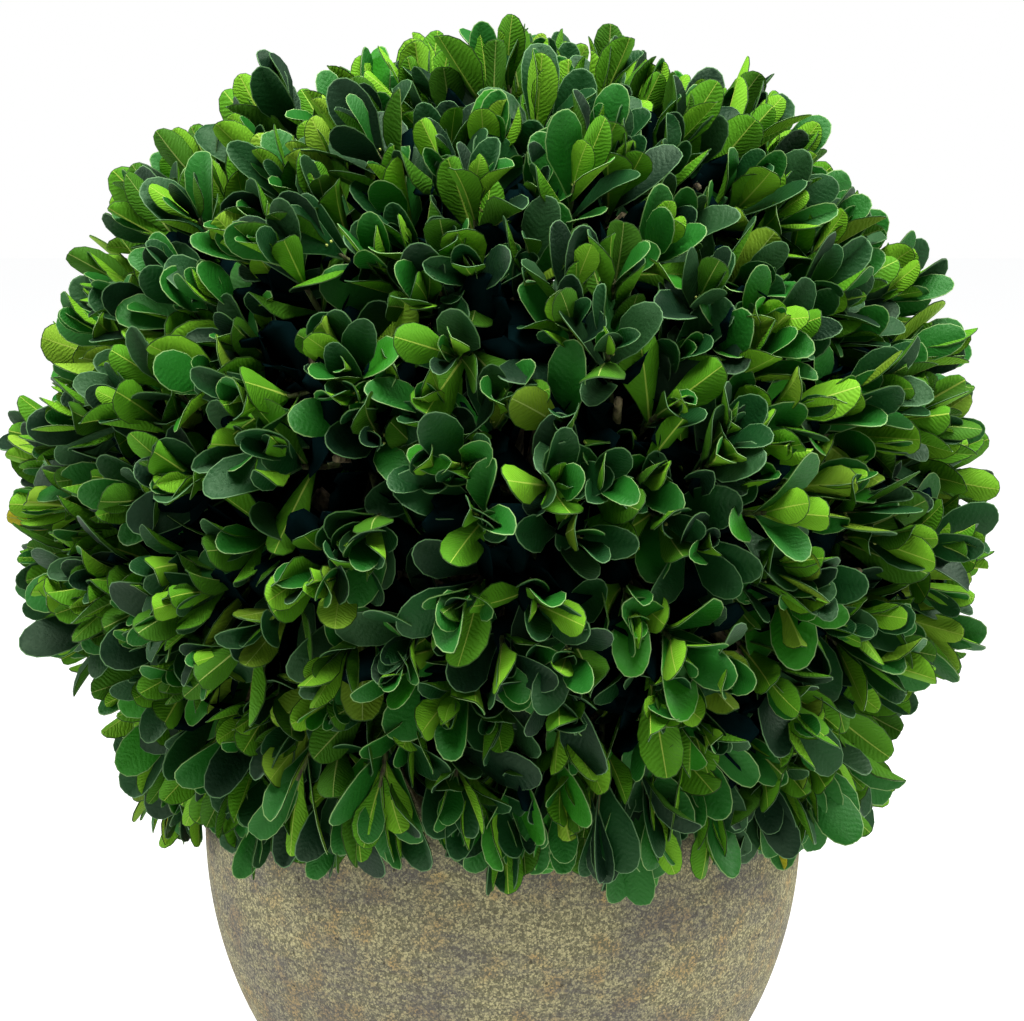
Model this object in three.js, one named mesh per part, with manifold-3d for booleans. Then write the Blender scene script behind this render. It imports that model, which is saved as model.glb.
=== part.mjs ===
// Box topiary ball in a round-bellied pot: a clipped ball of small, blunt leaves in pairs, whose lowest shoots
// hang over the rim. Millimetres, +Z up. The origin is the middle of the pot's flat underside.

import * as THREE from "three";
import { mergeVertices } from "three/addons/utils/BufferGeometryUtils.js";
import Module from "manifold-3d";

const wasm = await Module();
wasm.setup();

// Driving dimensions

const CLEARANCE = 0.3; // between pieces that rest on each other
const SLIVER = 0.03; // slivers thinner than this are closed up in the joined foliage

const POT_HEIGHT = 107.5;
const POT_BELLY_RADIUS = 82;
const POT_BELLY_HEIGHT = 86; // where the pot is widest
const POT_SIDE_REACH = 98; // half height of the ellipse that the side follows
const POT_WALL = 6;
const POT_FLOOR = 8;
const POT_FOOT_BEVEL = 1.5;
const SIDE_STEPS = 8; // up the side of the pot
const TURN_STEPS = 36; // round the pot and the soil

const SOIL_TOP = POT_HEIGHT - 11.5;
const SOIL_BEVEL = 1.2;

const STEM_FOOT_RADIUS = 13; // root flare
const STEM_RADIUS = 6;
const STEM_TOP = POT_HEIGHT - 1.5;
const STEM_TURN_STEPS = 12;

const BALL_CENTRE_HEIGHT = 176;
const BALL_RADIUS = 134; // mean reach of the leaf tips
const BALL_FLATNESS = 0.97; // the ball's height as a share of its width
const BALL_REACH = 143; // nothing grows past this
const BALL_POT_GAP = 0.8;

const CORE_RADIUS = 101;
const CORE_DETAIL = 3; // subdivisions of the core's icosahedron
const COLLAR_TOP_RADIUS = 96; // the core's lower end, which hangs over the rim
const COLLAR_RADIUS = 87;
const COLLAR_TOP = POT_HEIGHT + 36;
const COLLAR_BOTTOM = POT_HEIGHT - 5;
const COLLAR_TURN_STEPS = 24;

const BOUGHS = 14; // all inside the core
const BOUGH_REACH = 64;
const BOUGH_DEPTH = 0.35; // how far below the centre the lowest of them point, as a share of the radius

const SHOOTS = 55; // over the ball
const SHOOT_DEPTH = 0.5;
const SHOOT_TIP = BALL_RADIUS - 24;
const SHOOT_TIP_SPREAD = 4; // how unevenly the shears left the shoots
const SHOOT_LEAN = 0.07; // how far a shoot strays from its even place, in radians
const SHOOT_RADIUS = 2.4;
const SHOOT_TIP_RADIUS = 1.3;

const HEM_SHOOTS = 21; // in a ring over the rim
const HEM_DEPTH = 0.62;
const HEM_TIP = SHOOT_TIP + 5;
const HEM_DROOP = 0.7; // how strongly their leaves hang

const LEAF_LENGTH = 30;
const LEAF_WIDTH = 18;
const LEAF_THICKNESS = 1.6;
const LEAF_FOLD = 1.8; // how far the two halves rise from the midrib
const LEAF_SIZE_SPREAD = 0.12;
const LEAF_OPENING_SPREAD = 0.16;

// Pairs of leaves up a shoot: how far back from its tip, and how wide they open from it, in radians.
const LEAF_PAIRS = [
  { back: 9, opening: 1.2 },
  { back: 4.5, opening: 0.75 },
];
const END_LEAF = { back: 1.2, opening: 0.2 };

const SEED = 20;

const UP = new THREE.Vector3(0, 0, 1);
const CENTRE = new THREE.Vector3(0, 0, BALL_CENTRE_HEIGHT);

// Even random numbers from 0 to 1, the same on every run.
function seeded(seed) {
  let state = seed >>> 0;
  return () => {
    state = (state + 0x6d2b79f5) >>> 0;
    let mixed = Math.imul(state ^ (state >>> 15), state | 1);
    mixed ^= mixed + Math.imul(mixed ^ (mixed >>> 7), mixed | 61);
    return ((mixed ^ (mixed >>> 14)) >>> 0) / 4294967296;
  };
}

// Solids, joined and cut with manifold-3d

function solidOf(geometry) {
  const bare = geometry.clone();
  bare.deleteAttribute("normal");
  bare.deleteAttribute("uv");
  const merged = mergeVertices(bare, 1e-4);
  return new wasm.Manifold(
    new wasm.Mesh({
      numProp: 3,
      vertProperties: new Float32Array(merged.attributes.position.array),
      triVerts: new Uint32Array(merged.index.array),
    }),
  );
}

function geometryOf(solid) {
  const mesh = solid.getMesh();
  const geometry = new THREE.BufferGeometry();
  geometry.setAttribute("position", new THREE.BufferAttribute(mesh.vertProperties, 3));
  geometry.setIndex(new THREE.BufferAttribute(mesh.triVerts, 1));
  geometry.computeVertexNormals();
  return geometry;
}

// The largest body of a solid, without loose scraps.
function wholeBody(solid) {
  const bodies = solid.decompose();
  return bodies.reduce((best, body) => (body.volume() > best.volume() ? body : best));
}

// A solid of revolution about Z from its half section, as [radius, height] pairs.
function turned(section, steps) {
  const points = section.map(([radius, height]) => new THREE.Vector2(radius, height));
  return new THREE.LatheGeometry(points, steps).rotateX(Math.PI / 2);
}

// Pot

function potRadius(height) {
  const share = (height - POT_BELLY_HEIGHT) / POT_SIDE_REACH;
  return POT_BELLY_RADIUS * Math.sqrt(1 - share * share);
}

// Even steps from one height to another, both included.
function heights(from, to, steps) {
  return Array.from({ length: steps + 1 }, (_, i) => from + ((to - from) * i) / steps);
}

function potGeometry() {
  const lip = POT_WALL / 2;
  const lipCentre = POT_HEIGHT - lip;
  const outside = heights(POT_FOOT_BEVEL, lipCentre, SIDE_STEPS).map((z) => [potRadius(z), z]);
  const lipMiddle = potRadius(lipCentre) - lip;
  const rim = [0.25, 0.5, 0.75].map((turn) => [
    lipMiddle + lip * Math.cos(turn * Math.PI),
    lipCentre + lip * Math.sin(turn * Math.PI),
  ]);
  const inside = heights(lipCentre, POT_FLOOR, SIDE_STEPS).map((z) => [potRadius(z) - POT_WALL, z]);
  const foot = [potRadius(POT_FOOT_BEVEL) - POT_FOOT_BEVEL, 0];
  return turned([[0, 0], foot, ...outside, ...rim, ...inside, [0, POT_FLOOR]], TURN_STEPS);
}

// Soil

function soilGeometry() {
  const bottom = POT_FLOOR + CLEARANCE;
  const edge = SOIL_TOP - SOIL_BEVEL;
  const gap = POT_WALL + CLEARANCE;
  const side = heights(bottom, edge, SIDE_STEPS).map((z) => [potRadius(z) - gap, z]);
  const shoulder = [potRadius(SOIL_TOP) - gap - SOIL_BEVEL, SOIL_TOP];
  return turned([[0, bottom], ...side, shoulder, [0, SOIL_TOP]], TURN_STEPS);
}

// Stem

// Root flare at the foot, then an even taper to the first shoots.
function stemRadius(share) {
  const flare = (STEM_FOOT_RADIUS - STEM_RADIUS) * Math.pow(1 - share, 4);
  return STEM_RADIUS + flare;
}

function stemGeometry() {
  const foot = SOIL_TOP + CLEARANCE;
  const side = heights(0, 1, 5).map((share) => [stemRadius(share), foot + (STEM_TOP - foot) * share]);
  return turned([[0, foot], ...side, [0, STEM_TOP]], STEM_TURN_STEPS);
}

// Foliage

// One leaf along +X from its root at the origin, its upper face towards +Z: narrow at the root, widest past the
// middle and blunt at the tip, with its halves raised from the midrib.
function leafGeometry() {
  const outline = [
    [0, 0, 0],
    [0.5, -0.5, 1],
    [0.96, -0.24, 0.6],
    [0.96, 0.24, 0.6],
    [0.5, 0.5, 1],
  ];
  const corners = outline.flatMap(([x, y, z]) => [x * LEAF_LENGTH, y * LEAF_WIDTH, z * LEAF_FOLD]);
  const upper = [0.55 * LEAF_LENGTH, 0, LEAF_THICKNESS / 2];
  const lower = [0.55 * LEAF_LENGTH, 0, -LEAF_THICKNESS / 2];
  const sides = outline.length;
  const faces = [];
  for (let i = 0; i < sides; i++) {
    const next = (i + 1) % sides;
    faces.push(i, next, sides, next, i, sides + 1);
  }
  const geometry = new THREE.BufferGeometry();
  const places = new Float32Array([...corners, ...upper, ...lower]);
  geometry.setAttribute("position", new THREE.BufferAttribute(places, 3));
  geometry.setIndex(faces);
  return geometry;
}

// A three-sided twig that tapers from its root to its end.
function twigGeometry(root, end, rootRadius, endRadius) {
  const axis = end.clone().sub(root);
  const twig = new THREE.CylinderGeometry(endRadius, rootRadius, axis.length(), 3);
  twig.rotateX(Math.PI / 2);
  twig.applyQuaternion(new THREE.Quaternion().setFromUnitVectors(UP, axis.normalize()));
  const middle = root.clone().add(end).multiplyScalar(0.5);
  return twig.translate(middle.x, middle.y, middle.z);
}

// Directions that are even over the ball by the golden angle, from its top to the given depth below its centre. Each
// is its rise above the centre, as a share of the radius, and its turn round the stem.
function evenDirections(count, depth) {
  const goldenAngle = Math.PI * (3 - Math.sqrt(5));
  return Array.from({ length: count }, (_, i) => ({
    rise: 1 - ((i + 0.5) / count) * (1 + depth),
    turn: i * goldenAngle,
  }));
}

// The point of the ball at a tilt above its centre, a turn round the stem and a distance from its centre.
function ballPoint(tilt, turn, reach) {
  const level = reach * Math.cos(tilt);
  const height = reach * Math.sin(tilt) * BALL_FLATNESS;
  return new THREE.Vector3(level * Math.cos(turn), level * Math.sin(turn), height).add(CENTRE);
}

// The shoots. Each grows from the nearest bough's end: even over the ball, then a ring that hangs over the rim.
function shoots(random) {
  const unevenly = (middle, spread) => middle + (random() - 0.5) * 2 * spread;
  const boughEnds = evenDirections(BOUGHS, BOUGH_DEPTH).map(({ rise, turn }) =>
    ballPoint(Math.asin(rise), turn, BOUGH_REACH),
  );
  const shootAt = ({ rise, turn }, tip, droop) => {
    const tilt = unevenly(Math.asin(rise), SHOOT_LEAN);
    const end = ballPoint(tilt, unevenly(turn, SHOOT_LEAN), unevenly(tip, SHOOT_TIP_SPREAD));
    const root = boughEnds.reduce((best, point) =>
      point.distanceTo(end) < best.distanceTo(end) ? point : best,
    );
    return { root, end, droop, roll: random() * Math.PI };
  };
  const over = evenDirections(SHOOTS, SHOOT_DEPTH).map((direction) => shootAt(direction, SHOOT_TIP, 0));
  const hem = Array.from({ length: HEM_SHOOTS }, (_, i) =>
    shootAt({ rise: -HEM_DEPTH, turn: (i * 2 * Math.PI) / HEM_SHOOTS }, HEM_TIP, HEM_DROOP),
  );
  return [...over, ...hem];
}

// Where a leaf stands: its root on the shoot's axis, its length opening from that axis, its upper face inwards.
function leafPlace(shoot, back, opening, roll, size) {
  const axis = shoot.end.clone().sub(shoot.root).normalize();
  const aside = Math.abs(axis.z) < 0.9 ? UP : new THREE.Vector3(1, 0, 0);
  const across = axis.clone().cross(aside).normalize().applyAxisAngle(axis, roll);
  const length = axis.clone().multiplyScalar(Math.cos(opening)).addScaledVector(across, Math.sin(opening));
  length.addScaledVector(UP, -shoot.droop).normalize();
  const face = length.clone().cross(axis.clone().cross(across)).normalize();
  const width = face.clone().cross(length);
  return new THREE.Matrix4()
    .makeBasis(length, width, face)
    .scale(new THREE.Vector3(size, size, size))
    .setPosition(shoot.end.clone().addScaledVector(axis, -back));
}

function shootLeaves(shoot, random) {
  const size = () => 1 + (random() - 0.5) * 2 * LEAF_SIZE_SPREAD;
  const opening = (middle) => middle + (random() - 0.5) * 2 * LEAF_OPENING_SPREAD;
  const places = LEAF_PAIRS.flatMap((pair, level) =>
    [0, Math.PI].map((side) => {
      const roll = shoot.roll + side + (level * Math.PI) / 2;
      return leafPlace(shoot, pair.back, opening(pair.opening), roll, size());
    }),
  );
  const endRoll = shoot.roll + random() * Math.PI;
  return [...places, leafPlace(shoot, END_LEAF.back, END_LEAF.opening, endRoll, size())];
}

// The space that the pot takes, with the gap that the foliage keeps from it.
function potSpaceGeometry() {
  const top = POT_HEIGHT + BALL_POT_GAP;
  const side = heights(0, top, SIDE_STEPS).map((z) => [potRadius(z) + BALL_POT_GAP, z]);
  return turned([[0, 0], ...side, [0, top]], TURN_STEPS);
}

// True where a shoot or leaf stays inside the ball's reach and clear of the pot.
function hasRoom(geometry, potSpace) {
  const places = geometry.attributes.position;
  const point = new THREE.Vector3();
  for (let i = 0; i < places.count; i++) {
    if (point.fromBufferAttribute(places, i).distanceTo(CENTRE) > BALL_REACH) return false;
  }
  return solidOf(geometry).intersect(potSpace).isEmpty();
}

// The ball's core, cut clear of the pot, on the upper length of the stem.
function coreSolid(potSpace) {
  const ball = new THREE.IcosahedronGeometry(CORE_RADIUS, CORE_DETAIL).translate(0, 0, BALL_CENTRE_HEIGHT);
  const collarHeight = COLLAR_TOP - COLLAR_BOTTOM;
  const collar = new THREE.CylinderGeometry(COLLAR_TOP_RADIUS, COLLAR_RADIUS, collarHeight, COLLAR_TURN_STEPS);
  collar.rotateX(Math.PI / 2).translate(0, 0, COLLAR_BOTTOM + collarHeight / 2);
  const stemHeight = 2 * STEM_RADIUS;
  const stem = new THREE.CylinderGeometry(STEM_RADIUS, STEM_RADIUS, stemHeight, STEM_TURN_STEPS);
  stem.rotateX(Math.PI / 2).translate(0, 0, STEM_TOP + CLEARANCE + stemHeight / 2);
  return solidOf(ball).add(solidOf(collar)).subtract(potSpace).add(solidOf(stem));
}

// The clipped ball: the core with every shoot and leaf that has room joined to it.
function foliageGeometry() {
  const random = seeded(SEED);
  const potSpace = solidOf(potSpaceGeometry());
  const leaf = leafGeometry();
  let ball = coreSolid(potSpace);
  for (const shoot of shoots(random)) {
    const twig = twigGeometry(shoot.root, shoot.end, SHOOT_RADIUS, SHOOT_TIP_RADIUS);
    const leaves = shootLeaves(shoot, random).map((place) => leaf.clone().applyMatrix4(place));
    if (!hasRoom(twig, potSpace)) continue;
    for (const grown of [twig, ...leaves.filter((blade) => hasRoom(blade, potSpace))]) {
      ball = ball.add(solidOf(grown));
    }
  }
  return geometryOf(wholeBody(ball).simplify(SLIVER));
}

// Materials

const POT_FINISH = new THREE.MeshStandardMaterial({ color: 0x87826a, roughness: 0.9, metalness: 0 });
const SOIL_FINISH = new THREE.MeshStandardMaterial({ color: 0x2c2119, roughness: 1, metalness: 0 });
const BARK_FINISH = new THREE.MeshStandardMaterial({ color: 0x6b5f45, roughness: 0.85, metalness: 0 });
const LEAF_FINISH = new THREE.MeshStandardMaterial({ color: 0x23451a, roughness: 0.5, metalness: 0 });

function piece(name, geometry, finish) {
  const mesh = new THREE.Mesh(geometry, finish);
  mesh.name = name;
  return mesh;
}

const topiary = new THREE.Group();
topiary.add(piece("pot", potGeometry(), POT_FINISH));
topiary.add(piece("soil", soilGeometry(), SOIL_FINISH));
topiary.add(piece("stem", stemGeometry(), BARK_FINISH));
topiary.add(piece("foliage", foliageGeometry(), LEAF_FINISH));

export default topiary;
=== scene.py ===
"""The looks of a box topiary ball in a mottled pot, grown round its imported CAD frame.

The clipped ball is boughs, shoots, twigs and leaves. They grow by the same seeded rule as the CAD model's
shoots, carried on to finer twigs. The pot, its soil and the stem stand where the frame has them.
Metres, +Z up.
"""

import math
from collections import namedtuple

import bmesh
import bpy
import numpy as np
from mathutils import Matrix, Vector, noise


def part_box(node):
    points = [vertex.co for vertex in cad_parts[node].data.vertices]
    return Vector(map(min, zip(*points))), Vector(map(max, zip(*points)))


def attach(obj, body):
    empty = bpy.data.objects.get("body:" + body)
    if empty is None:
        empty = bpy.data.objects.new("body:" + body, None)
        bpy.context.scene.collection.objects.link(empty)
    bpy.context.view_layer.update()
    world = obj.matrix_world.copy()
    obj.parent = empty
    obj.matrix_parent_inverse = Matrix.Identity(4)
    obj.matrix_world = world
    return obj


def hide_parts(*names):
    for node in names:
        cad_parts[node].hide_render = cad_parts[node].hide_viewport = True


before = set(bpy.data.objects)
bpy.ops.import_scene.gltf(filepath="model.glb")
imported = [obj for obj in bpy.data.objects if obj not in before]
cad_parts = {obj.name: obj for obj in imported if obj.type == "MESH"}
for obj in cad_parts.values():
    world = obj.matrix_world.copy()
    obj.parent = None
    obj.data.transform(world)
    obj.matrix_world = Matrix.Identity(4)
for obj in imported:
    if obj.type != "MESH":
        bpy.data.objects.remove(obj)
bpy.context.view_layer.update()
POT_LOW, POT_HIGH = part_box("pot")
SOIL_LOW, SOIL_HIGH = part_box("soil")

bl_info = {
    "name": "Potted Box Topiary Ball",
    "version": (1, 0, 0),
    "blender": (4, 5, 0),
    "location": "3D View > Sidebar > Topiary",
    "description": "Grows a clipped box ball with all its leaves in a mottled pot",
    "category": "Add Mesh",
}

MM = 0.001
UP = Vector((0, 0, 1))
GOLDEN_ANGLE = math.pi * (3 - math.sqrt(5))
TOUCHING = 0.01 * MM  # points that lie closer than this are one


# Settings


def linear(code):
    """A colour of a #rrggbb code as the three linear numbers that shaders use."""
    parts = [int(code[i : i + 2], 16) / 255 for i in (1, 3, 5)]
    return tuple(p / 12.92 if p <= 0.04045 else ((p + 0.055) / 1.055) ** 2.4 for p in parts)


def number(name, description, default, **kind):
    return bpy.props.FloatProperty(name=name, description=description, default=default, **kind)


def length(name, description, metres):
    return number(name, description, metres, unit="LENGTH")


def angle(name, description, degrees):
    return number(name, description, math.radians(degrees), subtype="ANGLE")


def share(name, description, default):
    return number(name, description, default, subtype="FACTOR")


def count(name, description, default):
    return bpy.props.IntProperty(name=name, description=description, default=default)


def colour(name, description, code):
    return bpy.props.FloatVectorProperty(
        name=name, description=description, default=linear(code), subtype="COLOR", size=3
    )


class PotSettings(bpy.types.PropertyGroup):
    """The pot: a side that follows one ellipse, a round lip and a flat foot."""

    height: length("Height", "From the foot to the top of the lip", POT_HIGH.z)
    belly_radius: length("Belly radius", "Where it is widest", round((POT_HIGH.x - POT_LOW.x) / 2, 3))
    belly_height: length("Belly height", "Height of the widest place", 0.086)
    side_reach: length("Side reach", "Half height of the ellipse that the side follows", 0.098)
    wall: length("Wall", "Thickness of the wall", 0.006)
    floor: length("Floor", "Thickness of the floor", 0.008)
    foot_bevel: length("Foot bevel", "Round edge of the foot", 0.0015)
    patch_size: length("Patch size", "Size of the warm and cool clouds in the glaze", 0.022)
    grain_size: length("Grain size", "Size of the sandy grains", 0.00062)
    pinhole_spacing: length("Pinhole spacing", "Mean distance between pinholes", 0.0055)
    taupe: colour("Taupe", "Ground colour", "#706d54")
    mauve: colour("Mauve", "Cooler clouds in the ground", "#605d56")
    sand: colour("Sand", "Pale grains", "#c3ba8a")
    ochre: colour("Ochre", "Warm grains", "#bf9450")
    umber: colour("Umber", "Dark grains and pinholes", "#3f3a2c")


class SoilSettings(bpy.types.PropertyGroup):
    """Potting mix inside the pot."""

    clearance: length("Clearance", "Gap to the pot", 0.0003)
    lumps: length("Lumps", "Depth of the hollows in the surface", 0.0035)
    crumbs: count("Crumbs", "Loose crumbs on the surface", 260)
    crumb_radius: length("Crumb radius", "Mean radius of a crumb", 0.0022)
    peat: colour("Peat", "Main colour", "#2c2119")
    fibre: colour("Fibre", "Paler bits of bark in the mix", "#5a4630")


class WoodSettings(bpy.types.PropertyGroup):
    """The stem and the boughs inside the ball."""

    clearance: length("Clearance", "Gap between the stem's foot and the soil", 0.0003)
    stem_foot_radius: length("Foot radius", "Root flare of the stem at the soil", 0.013)
    stem_radius: length("Stem radius", "Radius of the stem where it enters the ball", 0.006)
    stem_flare_top: length("Flare top", "Height where the root flare has run out", 0.106)
    stem_top: length("Stem top", "Height where the stem has split into boughs", 0.158)
    bough_radius: length("Bough radius", "Radius of a bough at the stem", 0.0042)
    bough_end_radius: length("Bough end", "Radius of a bough where its shoots begin", 0.0026)
    relief: share("Relief", "Depth of the bark's ridges as a share of the radius", 0.16)
    bark: colour("Bark", "Ridges of the bark", "#857757")
    furrow: colour("Furrow", "Furrows of the bark", "#3d3424")
    green_bark: colour("Green bark", "Bark of this year's twigs", "#5d6b33")


class BallSettings(bpy.types.PropertyGroup):
    """The rule that the CAD model's shoots grow by, with the same values."""

    centre_height: length("Centre", "Height of the ball's centre", 0.176)
    radius: length("Radius", "Mean reach of the leaf tips", 0.134)
    flatness: share("Flatness", "Height of the ball as a share of its width", 0.97)
    reach: length("Reach", "Nothing grows past this distance from the centre", 0.143)
    pot_gap: length("Pot gap", "How far all growth stays from the pot", 0.0008)
    boughs: count("Boughs", "Boughs inside the ball", 14)
    bough_reach: length("Bough reach", "Distance of a bough's end from the centre", 0.064)
    bough_depth: share("Bough depth", "How far below the centre the boughs point", 0.35)
    shoots: count("Shoots", "Shoots over the ball", 55)
    shoot_depth: share("Shoot depth", "How far below the centre the shoots point", 0.5)
    shoot_tip: length("Shoot tip", "Distance of a shoot's end from the centre", 0.110)
    shoot_tip_spread: length("Tip spread", "How unevenly the shears left the shoots", 0.004)
    shoot_lean: number("Lean", "How far a shoot strays from its even place, in radians", 0.07)
    hem_shoots: count("Hem shoots", "Shoots in a ring over the rim", 21)
    hem_depth: share("Hem depth", "How far below the centre the ring lies", 0.62)
    hem_tip: length("Hem tip", "Distance of a hem shoot's end from the centre", 0.115)
    seed: count("Seed", "Start of the random numbers", 20)


class TwigSettings(bpy.types.PropertyGroup):
    """The finer twigs, which each carry one spray of leaves."""

    twigs: count("Twigs", "Twigs over the ball", 450)
    depth: share("Depth", "How far below the centre the twigs point", 0.6)
    tip: length("Tip", "Distance of a twig's end from the centre", 0.1155)
    tip_spread: length("Tip spread", "How unevenly the twigs end", 0.0075)
    stray: number("Stray", "How far a twig strays from its even place, in radians", 0.06)
    lean: number("Lean", "How far a twig leans from straight outwards", 0.26)
    straight: length("Straight end", "Length of the twig's end that has its own direction", 0.018)
    back: length("Back", "How far behind its shoot's end a twig leaves it", 0.030)
    hem_twigs: count("Hem twigs", "Twigs in each ring over the rim", 46)
    hem_rings: count("Hem rings", "Rings of twigs over the rim", 3)
    hem_tip: length("Hem tip", "Distance of a hem twig's end from the centre", 0.1135)
    hem_spread: length("Hem spread", "How unevenly the hem twigs end", 0.0085)
    hem_droop: number("Hem droop", "How strongly the lowest twigs hang", 0.9)
    hem_line: length("Hem line", "Height that no leaf hangs below", 0.0745)
    tuck: length("Tuck", "How far the lowest twigs are clipped back towards the rim", 0.0095)
    seed: count("Seed", "Start of the twigs' own random numbers", 22)
    shoot_radius: length("Shoot radius", "Radius of a shoot at its bough", 0.0024)
    shoot_end_radius: length("Shoot end", "Radius of a shoot at its end", 0.0011)
    twig_radius: length("Twig radius", "Radius of a twig at its shoot", 0.0011)
    twig_end_radius: length("Twig end", "Radius of a twig at its end", 0.0006)
    bud_share: share("Buds", "Share of the twigs that end in a bud", 0.4)


class LeafSettings(bpy.types.PropertyGroup):
    """A blunt, spoon-shaped leaf with a pale rim, whose paleness is a painted highlight on its edge, and the
    colours that sprays of leaves are dealt.
    """

    length: length("Length", "Length that the leaf is drawn at", 0.020)
    width: length("Width", "Greatest width at that length", 0.0089)
    rim: length("Rim", "Width of the pale rim", 0.00015)
    thickness: length("Thickness", "Thickness of the blade", 0.00030)
    rib: length("Rib", "Width of the midrib at the leaf's root", 0.00044)
    young: share("Young pairs", "Share of the twigs that end in a pair of small leaves", 0.6)
    turned_over: share("Turned over", "Share of the leaves that show their backs inwards", 0.3)
    folded: share("Folded", "Share of the leaves that are folded along the midrib", 0.13)
    sectors: count("Sectors", "Pieces that the leaves are joined into, round the stem", 6)
    vein_depth: length("Vein depth", "Height of the side veins", 0.00006)
    face_deep: colour("Deep face", "Upper face, darkest", "#051f0f")
    face_bottle: colour("Bottle face", "Upper face, bottle green", "#093411")
    face_green: colour("Green face", "Upper face, mid green", "#165613")
    face_fresh: colour("Fresh face", "Upper face of young leaves", "#287314")
    face_grey: colour("Grey face", "Upper face, dusty", "#1c3d1d")
    face_olive: colour("Olive face", "Upper face, ageing", "#274714")
    back_leaf: colour("Leaf back", "Underside, plain", "#498016")
    back_bright: colour("Bright back", "Underside, brightest", "#659a1f")
    back_deep: colour("Deep back", "Underside, in older leaves", "#356211")
    back_lime: colour("Lime back", "Underside of young leaves", "#79a02b")
    back_olive: colour("Olive back", "Underside, ageing", "#547017")
    back_gold: colour("Gold back", "Underside of a leaf that turns yellow", "#93901c")
    # The rim's slope is real, but its pale colours are a painted highlight: the light that the blade's
    # sloping edge catches.
    rim_sage: colour("Sage rim", "Rim of most leaves", "#517349")
    rim_pale: colour("Pale rim", "Rim of fresh leaves", "#709155")
    rib_pale: colour("Pale rib", "Midrib of the underside", "#98b145")
    rib_dull: colour("Dull rib", "Midrib of older undersides", "#809349")
    edge: colour("Edge", "Dark margin of the underside", "#264111")
    # The old leaves' near-black, blue-tinted colour is painted shade: it darkens the gaps between the leaves
    # into the ball.
    old: colour("Old leaf", "Leaves in the shade inside the ball", "#051314")
    bud: colour("Bud", "Buds at the twigs' ends", "#a8b45c")


class StageSettings(bpy.types.PropertyGroup):
    """The studio: a white floor, light all round and the camera."""

    floor_size: length("Floor size", "Side of the floor", 8.0)
    floor: colour("Floor", "Colour of the floor", "#8c8c8a")
    floor_light: colour("Floor light", "Colour of the light that the floor gives off", "#ffffff")
    floor_glow: number("Floor glow", "Strength of that light", 0.93)
    surround: number("Surround", "Strength of the light all round", 0.14)
    surround_tint: colour("Surround tint", "Colour of the light all round", "#eaf4ff")
    top_power: number("Top light", "Power of the soft light above, in watts", 43.0)
    left_power: number("Left light", "Power of the soft light on the left, in watts", 14.0)
    right_power: number("Right light", "Power of the soft light on the right, in watts", 21.0)
    aim_right: length("Aim right", "Where the camera looks, right of the stem", 0.0025)
    aim_height: length("Aim height", "Where the camera looks, above the floor", 0.1723)
    distance: length("Distance", "From the camera to what it looks at", 1.3)
    elevation: angle("Elevation", "How far the camera looks down", 6.5)
    view_width: length("View width", "Width of the view at the ball", 0.2806)


SETTINGS = {
    "topiary_pot": PotSettings,
    "topiary_soil": SoilSettings,
    "topiary_wood": WoodSettings,
    "topiary_ball": BallSettings,
    "topiary_twig": TwigSettings,
    "topiary_leaf": LeafSettings,
    "topiary_stage": StageSettings,
}


# Shader writing


class Wire:
    """An output of a shader node. Arithmetic on it adds Math nodes."""

    def __init__(self, shader, socket):
        self.shader = shader
        self.socket = socket

    def __add__(self, other):
        return self.shader.math("ADD", self, other)

    def __sub__(self, other):
        return self.shader.math("SUBTRACT", self, other)

    def __rsub__(self, other):
        return self.shader.math("SUBTRACT", other, self)

    def __mul__(self, other):
        return self.shader.math("MULTIPLY", self, other)

    __radd__ = __add__
    __rmul__ = __mul__


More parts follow.
